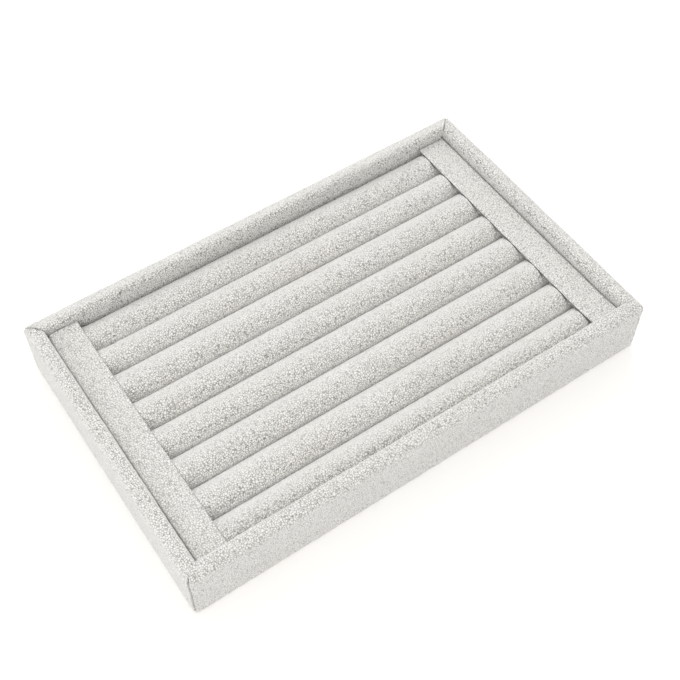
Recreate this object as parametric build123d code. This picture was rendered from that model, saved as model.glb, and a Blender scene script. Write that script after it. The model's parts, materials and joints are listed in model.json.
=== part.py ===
from build123d import *

import math
import os

# Velvet ring tray: a low board frame in cloth, with a bed of foam rolls that
# hold rings between them and two wrapped bars that press the roll ends down.
# Millimetres, +Z up. The origin is under the middle of the tray, on the
# surface that it stands on. +X runs along the rolls, +Y to the rear wall.

# Overall size
tray_length = 240.0
tray_width = 150.0
tray_height = 30.0

# Stock that the pieces are cut from
cloth_thickness = 0.9
wall_board_thickness = 6.0
base_board_thickness = 3.0
bed_card_thickness = 1.0
bar_board_thickness = 1.2

# Wrapped frame: the edge radii are those of the bare boards
wall_outer_edge_radius = 2.4
wall_inner_edge_radius = 1.1
corner_edge_radius = 2.1
hem_edge_radius = 1.0
wall_turn_under = 7.0
corner_seam_gap = 0.3
cover_seam_gap = 0.3

# Bed of rolls: the widths run from the rear wall to the front one
roll_height = 18.3
roll_width_shares = (0.95, 0.91, 1.08, 0.99, 1.02, 1.04, 1.04, 0.97)
roll_slit = 0.3
roll_end_clearance = 0.3
bed_clearance = 0.3

# Shape of a roll's crown, as shares of half its width
crown_rise_share = 0.88
shoulder_radius_share = 0.85

# End bars: both cover the rolls as far from the walls, and the left one is
# narrower, so that a wider gap stays open along its wall
bar_cover = 15.5
left_bar_wall_gap = 1.8
right_bar_wall_gap = 0.6
bar_height_over_rolls = 0.9
bar_edge_radius = 0.3
bar_turn_under = 4.0
bar_end_gap = 0.2
bar_side_clearance = 0.2

# Cuts run this far past the piece that they cut
overrun = 1.0

# Worked out from the above
wall_thickness = wall_board_thickness + 2 * cloth_thickness
floor_level = cloth_thickness + base_board_thickness
bed_level = floor_level + bed_card_thickness
crown_level = bed_level + roll_height
inner_length = tray_length - 2 * wall_thickness
inner_width = tray_width - 2 * wall_thickness
roll_length = inner_length - 2 * roll_end_clearance
bar_thickness = bar_board_thickness + 2 * cloth_thickness
bar_top = crown_level + bar_height_over_rolls
bar_bottom = bar_top - bar_thickness
bar_length = inner_width - 2 * bar_end_gap
bar_inner_edge = inner_length / 2 - bar_cover


def rectangle(low_u: float, low_v: float, high_u: float, high_v: float) -> Sketch:
    """A rectangle between two corners of a section."""
    centre = Pos((low_u + high_u) / 2, (low_v + high_v) / 2)
    return centre * Rectangle(high_u - low_u, high_v - low_v)


def along_x(section: Sketch, length: float) -> Part:
    """Run a section, drawn in Y and Z, along X to both sides of the middle."""
    return extrude(Plane.YZ * section, length / 2, both=True)


def block(low: tuple[float, float, float], high: tuple[float, float, float]) -> Part:
    """A box between two opposite corners."""
    size = [b - a for a, b in zip(low, high)]
    return Pos(*low) * Box(*size, align=(Align.MIN, Align.MIN, Align.MIN))


def top_corners(section: Sketch) -> ShapeList[Vertex]:
    """The two upper corners of a rectangular section, the left one first."""
    return section.vertices().group_by(Axis.Y)[-1].sort_by(Axis.X)


def footprint(inset: float) -> Part:
    """The space over the tray's plan, with its upright corner edges rounded.

    Args:
        inset: how far it lies inside the outside of the cloth.
    """
    plan = RectangleRounded(
        tray_length - 2 * inset,
        tray_width - 2 * inset,
        corner_edge_radius + cloth_thickness - inset,
    )
    return extrude(plan, tray_height)


# Walls: each is drawn with its outer face on Y = 0 and its inside towards +Y

def mitre_prism(run: float, seam: float) -> Part:
    """The space of one wall between its two 45 degree corner cuts.

    Args:
        run: outer length of the wall.
        seam: gap that stays open at each corner, square to the cut.
    """
    half = run / 2 - seam / math.sqrt(2)
    plan = Polyline(
        (-half, 0),
        (half, 0),
        (half - wall_thickness, wall_thickness),
        (wall_thickness - half, wall_thickness),
        close=True,
    )
    return extrude(make_face(plan), tray_height)


def round_rim(section: Sketch, over_board: float) -> Sketch:
    """Round the two top edges of a wall's section, the outer one more.

    Args:
        section: the section, its outer face on the left.
        over_board: thickness of what lies over the bare board there.
    """
    outer = top_corners(section)[0]
    section = fillet(outer, wall_outer_edge_radius + over_board)
    inner = section.vertices().group_by(Axis.Y)[-1].sort_by(Axis.X)[-1]
    return fillet(inner, wall_inner_edge_radius + over_board)


def wall_board_section() -> Sketch:
    """Section of a wall board, its two top edges eased."""
    section = rectangle(
        cloth_thickness,
        floor_level,
        cloth_thickness + wall_board_thickness,
        tray_height - cloth_thickness,
    )
    return round_rim(section, 0)


def wall_cloth_section() -> Sketch:
    """Section of the cloth: up the outside, over the rim, down the inside.

    Its lower edge turns under the base board, which passes through it.
    """
    outline = rectangle(0, 0, wall_thickness, tray_height)
    outline = round_rim(outline, cloth_thickness)
    hem = outline.vertices().sort_by(Axis.Y)[:2].sort_by(Axis.X)[0]
    outline = fillet(hem, hem_edge_radius)
    base_passage = rectangle(cloth_thickness, cloth_thickness, wall_thickness, floor_level)
    beyond_hem = rectangle(wall_turn_under, 0, wall_thickness, cloth_thickness)
    return outline - wall_board_section() - base_passage - beyond_hem


def wall_board(run: float) -> Part:
    """One frame board, mitred at both ends."""
    return along_x(wall_board_section(), run) & mitre_prism(run, 0)


def wall_cloth(run: float) -> Part:
    """The cloth of one frame board, mitred along the corner seams."""
    return along_x(wall_cloth_section(), run) & mitre_prism(run, corner_seam_gap / 2)


def walls() -> dict[str, Part]:
    """The four boards of the frame and the cloth that wraps each one."""
    places = {
        "front": (tray_length, Pos(0, -tray_width / 2, 0)),
        "rear": (tray_length, Pos(0, tray_width / 2, 0) * Rot(0, 0, 180)),
        "left": (tray_width, Pos(-tray_length / 2, 0, 0) * Rot(0, 0, -90)),
        "right": (tray_width, Pos(tray_length / 2, 0, 0) * Rot(0, 0, 90)),
    }
    pieces = {}
    for side, (run, place) in places.items():
        pieces[f"{side}_wall_board"] = place * wall_board(run) & footprint(cloth_thickness)
        pieces[f"{side}_wall_velvet"] = place * wall_cloth(run) & footprint(0)
    return pieces


# Flat pieces

def base_board() -> Part:
    """The bottom board, under the whole frame and inside its cloth."""
    x = tray_length / 2 - cloth_thickness
    y = tray_width / 2 - cloth_thickness
    board = block((-x, -y, cloth_thickness), (x, y, floor_level))
    return board & footprint(cloth_thickness)


def bottom_cover() -> Part:
    """The cloth sheet under the base board, edge to edge with the turned hems."""
    x = tray_length / 2 - wall_turn_under - cover_seam_gap
    y = tray_width / 2 - wall_turn_under - cover_seam_gap
    return block((-x, -y, 0), (x, y, cloth_thickness))


def bed_card() -> Part:
    """The card that the foam rolls are glued to."""
    x = inner_length / 2 - bed_clearance
    y = inner_width / 2 - bed_clearance
    return block((-x, -y, floor_level), (x, y, bed_level))


# Foam rolls

def roll_section(width: float, base: float, crown: float) -> Sketch:
    """Upright sides under a three-centred arch: shoulders and a flatter crown.

    Args:
        width: full width of the section.
        base: height of its flat bottom.
        crown: height of its highest point.
    """
    half = width / 2
    rise = crown_rise_share * half
    shoulder = shoulder_radius_share * half
    spring = crown - rise
    offset = half - shoulder
    excess = rise - shoulder
    drop = (offset**2 - excess**2) / (2 * excess)
    lean = math.atan2(offset, drop)
    join = (offset + shoulder * math.sin(lean), spring + shoulder * math.cos(lean))
    middle = (
        offset + shoulder * math.cos((math.pi / 2 - lean) / 2),
        spring + shoulder * math.sin((math.pi / 2 - lean) / 2),
    )
    outline = [
        Line((-half, spring), (-half, base)),
        Line((-half, base), (half, base)),
        Line((half, base), (half, spring)),
        ThreePointArc((half, spring), middle, join),
        ThreePointArc(join, (0, crown), (-join[0], join[1])),
        ThreePointArc((-join[0], join[1]), (-middle[0], middle[1]), (-half, spring)),
    ]
    return make_face(outline)


def roll_form(width: float, inset: float) -> Part:
    """One roll with its two ends pressed flat under the bars.

    Args:
        width: full width of the wrapped roll.
        inset: how far this form lies inside the outside of the cloth.
    """
    section = roll_section(width - 2 * inset, bed_level + inset, crown_level - inset)
    form = along_x(section, roll_length)
    riser = bar_inner_edge - bar_side_clearance - inset
    end = roll_length / 2 + overrun
    y = width / 2 + overrun
    pressed = bar_bottom - inset
    for low_x, high_x in ((-end, -riser), (riser, end)):
        form -= block((low_x, -y, pressed), (high_x, y, crown_level + overrun))
    return form


def rolls() -> dict[str, Part]:
    """The foam of each roll and the velvet sleeve round it, rear one first."""
    pitch_per_share = inner_width / sum(roll_width_shares)
    pieces = {}
    far_side = inner_width / 2
    for number, share in enumerate(roll_width_shares, start=1):
        pitch = pitch_per_share * share
        place = Pos(0, far_side - pitch / 2, 0)
        width = pitch - roll_slit
        foam = roll_form(width, cloth_thickness)
        pieces[f"roll_{number}_foam"] = place * foam
        pieces[f"roll_{number}_velvet"] = place * (roll_form(width, 0) - foam)
        far_side -= pitch
    return pieces


# End bars: drawn with their length along X and their middle on the origin

def bar_board_blank(width: float) -> Part:
    """The thin board inside a bar of this width, its two long top edges eased."""
    half_width = width / 2 - cloth_thickness
    bottom = bar_bottom + cloth_thickness
    section = rectangle(-half_width, bottom, half_width, bottom + bar_board_thickness)
    section = fillet(top_corners(section), bar_edge_radius)
    return along_x(section, bar_length - 2 * cloth_thickness)


def bar_cloth_blank(width: float) -> Part:
    """The cloth of a bar of this width, open underneath between its turned edges."""
    section = rectangle(-width / 2, bar_bottom, width / 2, bar_top)
    section = fillet(top_corners(section), bar_edge_radius + cloth_thickness)
    x = bar_length / 2 - bar_turn_under
    y = width / 2 - bar_turn_under
    opening = block((-x, -y, bar_bottom), (x, y, bar_bottom + cloth_thickness))
    return along_x(section, bar_length) - bar_board_blank(width) - opening


def bars() -> dict[str, Part]:
    """The board and the velvet of the bar over each end of the rolls."""
    pieces = {}
    for side, end, gap in (("left", -1, left_bar_wall_gap), ("right", 1, right_bar_wall_gap)):
        width = bar_cover - gap
        place = Pos(end * (bar_inner_edge + width / 2), 0, 0) * Rot(0, 0, 90)
        pieces[f"{side}_bar_board"] = place * bar_board_blank(width)
        pieces[f"{side}_bar_velvet"] = place * bar_cloth_blank(width)
    return pieces


def build() -> dict[str, Part]:
    """Every piece of the tray by its name."""
    return {
        "base_board": base_board(),
        "bottom_cover": bottom_cover(),
        "bed_card": bed_card(),
        **walls(),
        **rolls(),
        **bars(),
    }


os.makedirs("parts", exist_ok=True)
for name, piece in build().items():
    export_step(piece, f"parts/{name}.step")
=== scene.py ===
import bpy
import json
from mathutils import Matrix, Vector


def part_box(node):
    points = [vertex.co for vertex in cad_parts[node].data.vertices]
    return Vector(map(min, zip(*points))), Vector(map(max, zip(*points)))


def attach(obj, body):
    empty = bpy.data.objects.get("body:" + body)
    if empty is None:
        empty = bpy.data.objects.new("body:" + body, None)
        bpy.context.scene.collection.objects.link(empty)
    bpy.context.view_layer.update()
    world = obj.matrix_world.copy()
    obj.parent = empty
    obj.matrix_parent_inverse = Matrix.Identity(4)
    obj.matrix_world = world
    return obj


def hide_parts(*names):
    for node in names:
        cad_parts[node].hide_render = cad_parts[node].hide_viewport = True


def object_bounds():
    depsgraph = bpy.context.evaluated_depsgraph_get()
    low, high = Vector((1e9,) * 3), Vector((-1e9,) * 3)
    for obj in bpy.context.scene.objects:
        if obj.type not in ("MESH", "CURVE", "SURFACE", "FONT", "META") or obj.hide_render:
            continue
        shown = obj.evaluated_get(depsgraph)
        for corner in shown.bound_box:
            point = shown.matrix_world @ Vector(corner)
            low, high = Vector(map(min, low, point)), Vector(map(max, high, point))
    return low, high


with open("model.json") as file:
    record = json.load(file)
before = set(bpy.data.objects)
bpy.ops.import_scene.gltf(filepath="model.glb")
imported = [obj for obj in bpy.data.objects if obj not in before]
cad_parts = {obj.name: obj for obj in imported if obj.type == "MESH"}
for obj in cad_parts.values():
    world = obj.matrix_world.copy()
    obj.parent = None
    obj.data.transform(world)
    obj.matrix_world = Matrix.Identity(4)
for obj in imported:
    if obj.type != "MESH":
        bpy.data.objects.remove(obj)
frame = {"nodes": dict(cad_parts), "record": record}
CAD_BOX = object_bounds()

"""Looks of the velvet ring tray: its wraps, roll sleeves, bars, boards and studio.

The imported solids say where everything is. The cloth pieces are dense grids of
quads that follow the sections of those solids, with the pile as real relief.
"""

import json
import logging
import math
from dataclasses import dataclass, field
from enum import Enum
from itertools import product

import bmesh
import bpy
import numpy as np
from mathutils import Matrix, Vector

MM = 0.001
BODY = "root"
BAKE_MAP = "OFBake"
LEAST = 1e-9
# The curve from sRGB to linear: where its toe ends, the toe's slope, the rest's offset and power
TOE_END, TOE_SLOPE, CURVE_OFFSET, CURVE_POWER = 0.04045, 12.92, 0.055, 2.4
# How open the pile stands, as the mesh says it, which also paints light and shade: between 0,
# brushed flat, and these two
NAP_AND_SHADING, OPEN_NAP, PARTED_AND_SHADED_NAP = "nap_and_shading", 1.0, 2.0
# Places of the Mix node's sockets, whose names are the same for values and for colours
VALUE_A, VALUE_B, MIXED_VALUE = 2, 3, 0
COLOUR_A, COLOUR_B, MIXED_COLOUR = 6, 7, 2
LOG = logging.getLogger("ring_tray")


def linear(code: str) -> tuple[float, float, float, float]:
    """Turn an sRGB hex colour into linear red, green, blue and alpha.

    Args:
        code: six hex digits after a hash, such as "#d4d2ce".

    Returns:
        The linear colour, with an alpha of 1.
    """
    parts = [int(code[i : i + 2], 16) / 255 for i in (1, 3, 5)]
    red, green, blue = (
        part / TOE_SLOPE
        if part <= TOE_END
        else ((part + CURVE_OFFSET) / (1 + CURVE_OFFSET)) ** CURVE_POWER
        for part in parts
    )
    return red, green, blue, 1.0


def add_node(
    tree: bpy.types.NodeTree,
    kind: str,
    inputs: dict[str | int, object] | None = None,
    **settings: object,
) -> bpy.types.Node:
    """Add one node with its settings, and fill or link its inputs.

    Args:
        tree: node tree of a material or of the world.
        kind: type of the node, after the ShaderNode that each one starts with.
        inputs: plain values, or output sockets to link, by input name or index.
        settings: properties of the node itself.

    Returns:
        The new node.
    """
    node = tree.nodes.new(f"ShaderNode{kind}")
    for name, value in settings.items():
        setattr(node, name, value)
    for name, value in (inputs or {}).items():
        if isinstance(value, bpy.types.NodeSocket):
            tree.links.new(value, node.inputs[name])
        else:
            node.inputs[name].default_value = value
    return node


def new_material(name: str) -> tuple[bpy.types.Material, bpy.types.NodeTree]:
    """Start an empty node material.

    Args:
        name: what the real material is.

    Returns:
        The material and its tree.
    """
    material = bpy.data.materials.new(name)
    material.use_nodes = True
    material.node_tree.nodes.clear()
    return material, material.node_tree


def per_millimetre(size_mm: float) -> float:
    """The scale of a noise node whose features are this many millimetres wide."""
    return 1 / (size_mm * MM)


# Finishes


@dataclass(frozen=True)
class ShortPileVelvet:
    """Knitted polyester velvet with a short curly pile, glued over its base.

    Where the pile stands open, dark winding creases show between its tufts,
    and where it is brushed flat the tufts hide them. Along a seam it parts to
    its roots. The mesh says so in its nap attribute: 0 is flat, 1 open and 2
    parted. That attribute also paints light and shade. It is lower and lighter
    on faces the light falls on, and higher and darker on faces in shade. Near 2,
    the dark roots are painted shade in the hollows under the bars' edges.

    One fibre is too fine to show, so fibre_mm is as coarse as a lock of them.
    """

    name: str = "short_pile_velvet"
    tip: str = "#f2f1ee"
    warm_tip: str = "#f1eee8"
    root: str = "#38322a"
    tuft_mm: float = 1.0
    wander_length_mm: float = 0.8
    wander_mm: float = 0.6
    fibre_mm: float = 0.35
    patch_mm: float = 30.0
    crease_top: float = 0.145
    tuft_height_mm: float = 0.16
    fibre_height_mm: float = 0.04
    roughness: tuple[float, float] = (0.88, 1.0)
    gloss: float = 0.2
    sheen: float = 1.0
    sheen_roughness: float = 0.5

    def material(self) -> bpy.types.Material:
        """Build the node material.

        Returns:
            The velvet: pale tufts, darker creases, patches of warmer tips, and
            the sheen of the tips at a low angle.
        """
        material, tree = new_material(self.name)
        place = add_node(tree, "TexCoord").outputs["Object"]
        # Width and detail of each noise
        noises = ((self.wander_length_mm, 0.0), (self.fibre_mm, 1.0), (self.patch_mm, 2.0))
        wander, fibre, patch = (
            add_node(
                tree,
                "TexNoise",
                {"Vector": place, "Scale": per_millimetre(width), "Detail": detail},
            ).outputs
            for width, detail in noises
        )
        curled = add_node(
            tree,
            "VectorMath",
            {0: wander["Color"], 1: (self.wander_mm * MM,) * 3, 2: place},
            operation="MULTIPLY_ADD",
        ).outputs["Vector"]
        crease = add_node(
            tree,
            "TexVoronoi",
            {"Vector": curled, "Scale": per_millimetre(self.tuft_mm)},
            feature="DISTANCE_TO_EDGE",
        ).outputs["Distance"]
        tuft = add_node(
            tree, "MapRange", {"Value": crease, "From Max": self.crease_top}
        ).outputs["Result"]
        tints = {COLOUR_A: linear(self.tip), COLOUR_B: linear(self.warm_tip)}
        inputs = {"Factor": patch["Fac"]} | tints
        tips = add_node(tree, "Mix", inputs, data_type="RGBA").outputs[MIXED_COLOUR]
        # The nap attribute is also painted light and shade: low is lighter, high darker, near 2 the
        # dark roots stand for shade
        nap_and_shading = add_node(tree, "Attribute", attribute_name=NAP_AND_SHADING).outputs["Fac"]
        spans = {"From Min": OPEN_NAP, "From Max": PARTED_AND_SHADED_NAP, "To Min": 1.0, "To Max": 0.0}
        closed = add_node(tree, "MapRange", {"Value": nap_and_shading} | spans).outputs["Result"]
        inputs = {"Factor": nap_and_shading, VALUE_A: closed, VALUE_B: tuft}
        shown = add_node(tree, "Mix", inputs).outputs[MIXED_VALUE]
        shown = add_node(tree, "Math", {0: shown, 1: closed}, operation="MULTIPLY").outputs[0]
        inputs = {"Factor": shown, COLOUR_A: linear(self.root), COLOUR_B: tips}
        colour = add_node(tree, "Mix", inputs, data_type="RGBA").outputs[MIXED_COLOUR]
        smooth, rough = self.roughness
        roughness = add_node(
            tree, "MapRange", {"Value": fibre["Fac"], "To Min": smooth, "To Max": rough}
        ).outputs["Result"]
        inputs = {"Strength": 1.0, "Height": fibre["Fac"], "Distance": self.fibre_height_mm * MM}
        fibres = add_node(tree, "Bump", inputs).outputs["Normal"]
        inputs |= {"Height": tuft, "Distance": self.tuft_height_mm * MM, "Normal": fibres}
        tufts = add_node(tree, "Bump", inputs).outputs["Normal"]
        shader = add_node(
            tree,
            "BsdfPrincipled",
            {
                "Base Color": colour,
                "Roughness": roughness,
                "Normal": tufts,
                "Specular IOR Level": self.gloss,
                "Sheen Weight": self.sheen,
                "Sheen Roughness": self.sheen_roughness,
            },
        )
        add_node(tree, "OutputMaterial", {"Surface": shader.outputs[0]})
        return material


class Speckle(Enum):
    """What draws the speckle of a stock: the node's type and its output."""

    FIBRES = ("TexNoise", "Fac")
    PORES = ("TexVoronoi", "Distance")


@dataclass(frozen=True)
class InnerStock:
    """A matt stock inside the tray, speckled at the width of its fibres or pores.

    Attributes:
        name: what the real material is.
        low: colour where the speckle is low.
        high: colour where it is high.
        grain_mm: width of the speckle's features.
        relief_mm: height of the speckle as relief.
        strength: how strongly that shows.
        roughness: of the surface.
        gloss: how strongly light glances off it.
        span: values of the speckle where the colour starts and ends its change.
        speckle: fibres or pores.
        texture: further inputs of the speckle's node.
        stepped: whether the relief steps where the colour does.
    """

    name: str
    low: str
    high: str
    grain_mm: float
    relief_mm: float
    strength: float
    roughness: float
    gloss: float = 0.5
    span: tuple[float, float] = (0.0, 1.0)
    speckle: Speckle = Speckle.FIBRES
    texture: dict[str, float] = field(default_factory=dict)
    stepped: bool = False

    def material(self) -> bpy.types.Material:
        """Build the node material.

        Returns:
            The stock, with its speckle as colour and as low relief.
        """
        material, tree = new_material(self.name)
        place = add_node(tree, "TexCoord").outputs["Object"]
        kind, output = self.speckle.value
        inputs = {"Vector": place, "Scale": per_millimetre(self.grain_mm)} | self.texture
        speckle = add_node(tree, kind, inputs).outputs[output]
        share = add_node(
            tree, "MapRange", {"Value": speckle, "From Min": self.span[0], "From Max": self.span[1]}
        ).outputs["Result"]
        inputs = {"Factor": share, COLOUR_A: linear(self.low), COLOUR_B: linear(self.high)}
        colour = add_node(tree, "Mix", inputs, data_type="RGBA").outputs[MIXED_COLOUR]
        height = share if self.stepped else speckle
        inputs = {"Height": height, "Strength": self.strength, "Distance": self.relief_mm * MM}
        bump = add_node(tree, "Bump", inputs).outputs["Normal"]
        shader = add_node(
            tree,
            "BsdfPrincipled",
            {
                "Base Color": colour,
                "Roughness": self.roughness,
                "Normal": bump,
                "Specular IOR Level": self.gloss,
            },
        )
        add_node(tree, "OutputMaterial", {"Surface": shader.outputs[0]})
        return material


# Medium density fibreboard, sawn and left bare: brown felted fibres. One of them is too
# fine to show, so the speckle is as coarse as a bundle.
PRESSED_FIBREBOARD = InnerStock(
    name="pressed_fibreboard",
    low="#8f7150",
    high="#b79a75",
    grain_mm=0.8,
    relief_mm=0.05,
    strength=0.4,
    roughness=0.85,
    gloss=0.3,
    texture={"Detail": 4.0, "Roughness": 0.7},
)
# Open-cell polyurethane foam, cut to shape: pale, with a small dark pore to each cell
OPEN_CELL_FOAM = InnerStock(
    name="open_cell_foam",
    low="#b3ab97",
    high="#ece7d8",
    grain_mm=0.7,
    relief_mm=0.1,
    strength=0.5,
    roughness=0.95,
    gloss=0.2,
    span=(0.1, 0.5),
    speckle=Speckle.PORES,
    stepped=True,
)
# Recycled grey card, rolled smooth, with flecks of darker fibre
RECYCLED_GREY_CARD = InnerStock(
    name="recycled_grey_card",
    low="#a6a39b",
    high="#86837c",
    grain_mm=1.2,
    relief_mm=0.03,
    strength=0.2,
    roughness=0.9,
    span=(0.55, 0.65),
    texture={"Detail": 3.0},
)


def seen_share(tree: bpy.types.NodeTree) -> bpy.types.NodeSocket:
    """One for what the camera, a mirror or glass sees, and nothing for other light.

    Args:
        tree: node tree of a material or of the world.

    Returns:
        The output that says so.
    """
    rays = add_node(tree, "LightPath").outputs
    seen = rays["Is Camera Ray"]
    for other in ("Is Glossy Ray", "Is Transmission Ray"):
        inputs = {0: seen, 1: rays[other]}
        seen = add_node(tree, "Math", inputs, operation="MAXIMUM").outputs[0]
    return seen


@dataclass(frozen=True)
class SweepPaper:
    """Matt white paper of the studio floor, which takes the tray's soft shadow."""

    name: str = "white_sweep_paper"
    sheet: str = "#f6f4f1"
    white: str = "#ffffff"
    lift: float = 0.15
    roughness: float = 0.9
    gloss: float = 0.1

    def material(self) -> bpy.types.Material:
        """Build the node material.

        Returns:
            The paper, lifted a little for what the camera and mirrors see of it.
        """
        material, tree = new_material(self.name)
        strength = add_node(
            tree, "Math", {0: seen_share(tree), 1: self.lift}, operation="MULTIPLY"
        ).outputs[0]
        shader = add_node(
            tree,
            "BsdfPrincipled",
            {
                "Base Color": linear(self.sheet),
                "Roughness": self.roughness,
                "Specular IOR Level": self.gloss,
                "Emission Color": linear(self.white),
                "Emission Strength": strength,
            },
        )
        add_node(tree, "OutputMaterial", {"Surface": shader.outputs[0]})
        return material


# Relief of the cloth


@dataclass(frozen=True)
class LatticeNoise:
    """Smooth noise in space, the same on every run, about -1 to 1.

    Attributes:
        cell: width of its features, in metres.
        seed: picks one noise among many.
        primes: large primes that tell the lattice's three directions apart.
        seed_prime: one that tells the seeds apart.
        mixer: odd number that stirs the bits.
        shifts: how far the bits move down before and after the stir.
        parts: parts that each slope is cut into.
        middle: lattice place of the origin, so that none is below zero.
        level: brings the sum to about -1 to 1.
    """

    cell: float
    seed: int
    primes: tuple[int, int, int] = (73856093, 19349663, 83492791)
    seed_prime: int = 2654435761
    mixer: int = 0xBF58476D1CE4E5B9
    shifts: tuple[int, int] = (29, 32)
    parts: int = 0xFFFF
    middle: int = 4096
    level: float = 1.6

    def _slopes(self, corner: np.ndarray) -> np.ndarray:
        """A steady random slope for each lattice corner.

        Args:
            corner: lattice places, in a last axis of 3.

        Returns:
            A slope for each, in a last axis of 3, its parts from -1 to 1.
        """
        mixed = np.uint64(self.seed * self.seed_prime)
        for axis, prime in enumerate(self.primes):
            mixed = mixed ^ (corner[..., axis].astype(np.uint64) * np.uint64(prime))
        before, after = (np.uint64(shift) for shift in self.shifts)
        slopes = []
        for _ in self.primes:
            mixed = (mixed ^ (mixed >> before)) * np.uint64(self.mixer)
            mixed ^= mixed >> after
            slopes.append((mixed & np.uint64(self.parts)).astype(float) / (self.parts / 2) - 1)
        return np.stack(slopes, axis=-1)

    def at(self, points: np.ndarray) -> np.ndarray:
        """The noise at each point.

        Args:
            points: places in metres, in a last axis of 3.

        Returns:
            One value for each place.
        """
        scaled = points / self.cell + self.middle
        base = np.floor(scaled).astype(np.int64)
        part = scaled - base
        # The smoothest step of the fifth power, level at both its ends
        fade = part**3 * (part * (part * 6 - 15) + 10)
        total = np.zeros(points.shape[:-1])
        for corner in product((0, 1), repeat=3):
            step = np.array(corner)
            weight = np.where(step == 1, fade, 1 - fade).prod(axis=-1)
            total += weight * (self._slopes(base + step) * (part - step)).sum(axis=-1)
        return total * self.level


@dataclass(frozen=True)
class Pile:
    """Relief of the pile: round clumps with winding creases between them.

    Attributes:
        clump: width of a clump, in metres.
        depth: height of a clump over the crease beside it, in metres.
        seed: picks the noise.
        broad: width of the broader creases' noise, in clumps.
        shares: how much the broader and the finer creases count.
    """

    clump: float = 1.15 * MM
    depth: float = 0.2 * MM
    seed: int = 7
    broad: float = 1.9
    shares: tuple[float, float] = (1.25, 0.95)

    def sink(self, points: np.ndarray) -> np.ndarray:
        """How far the pile lies under the tops of its clumps.

        Args:
            points: places in metres, in a last axis of 3.

        Returns:
            One depth in metres for each place: none on a clump, the whole in a crease.
        """
        coarse = np.abs(LatticeNoise(self.clump * self.broad, self.seed).at(points))
        fine = np.abs(LatticeNoise(self.clump, self.seed + 1).at(points))
        return self.depth * (1 - np.clip(self.shares[0] * coarse + self.shares[1] * fine, 0, 1))


@dataclass(frozen=True)
class Sway:
    """Slow unevenness of cloth stretched by hand over a base.

    Attributes:
        length: distance from one swell to the next, in metres.
        height: how far the cloth leaves its even place, in metres.
        seed: picks the noise.
    """

    length: float
    height: float
    seed: int

    def at(self, points: np.ndarray) -> np.ndarray:
        """How far each point stands out, in metres."""
        return self.height * LatticeNoise(self.length, self.seed).at(points)


# Sections and meshes


def in_space(x: np.ndarray | float, y: np.ndarray | float, z: np.ndarray | float) -> np.ndarray:
    """Places in a last axis of 3, from parts that are each spread over the whole grid."""
    return np.stack(np.broadcast_arrays(x, y, z), axis=-1)


@dataclass(frozen=True)
class Run:
    """A straight stretch of a section, as (across, up) from start to end."""

    start: tuple[float, float]
    end: tuple[float, float]
    spacing: float

    def trace(self) -> tuple[np.ndarray, np.ndarray]:
        """Step along the run.

        Returns:
            Places, and the outward direction at each, on the run's right.
        """
        a, b = np.array(self.start), np.array(self.end)
        length = float(np.linalg.norm(b - a))
        t = np.linspace(0, 1, max(2, round(length / self.spacing) + 1))[:, None]
        ahead = (b - a) / length
        return a + t * (b - a), np.tile([ahead[1], -ahead[0]], (len(t), 1))


@dataclass(frozen=True)
class Bend:
    """A round stretch of a section, turning left, angles in radians."""

    centre: tuple[float, float]
    radius: float
    first: float
    last: float
    spacing: float

    def trace(self) -> tuple[np.ndarray, np.ndarray]:
        """Step round the bend.

        Returns:
            Places, and the outward direction at each.
        """
        count = max(3, round(self.radius * abs(self.last - self.first) / self.spacing) + 1)
        angle = np.linspace(self.first, self.last, count)
        out = np.stack([np.cos(angle), np.sin(angle)], axis=1)
        return np.array(self.centre) + self.radius * out, out


def trace(stretches: list[Run | Bend]) -> tuple[np.ndarray, np.ndarray]:
    """Join stretches into one section, with no place twice.

    Args:
        stretches: runs and bends, each starting where the last one ends.

    Returns:
        Places and outward directions, one row each.
    """
    places, outs = [], []
    for stretch in stretches:
        place, out = stretch.trace()
        first = 1 if places else 0
        if places:
            outs[-1][-1] = outs[-1][-1] + out[0]
            outs[-1][-1] /= np.linalg.norm(outs[-1][-1])
        places.append(place[first:])
        outs.append(out[first:])
    return np.concatenate(places), np.concatenate(outs)


def run_length(places: np.ndarray) -> np.ndarray:
    """How far each place of a section is from its first one, along the section."""
    steps = np.linalg.norm(np.diff(places, axis=0), axis=1)
    return np.concatenate([[0], np.cumsum(steps)])


class MapArea(Enum):
    """Areas of the bake map: low u, low v, high u and high v."""

    SKIN = (0.0, 0.0, 1.0, 0.88)
    LINING = (0.0, 0.90, 1.0, 0.93)
    FIRST_HEM = (0.0, 0.94, 0.48, 0.96)
    LAST_HEM = (0.5, 0.94, 1.0, 0.96)
    FIRST_END = (0.0, 0.97, 0.48, 1.0)
    LAST_END = (0.5, 0.97, 1.0, 1.0)


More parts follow.
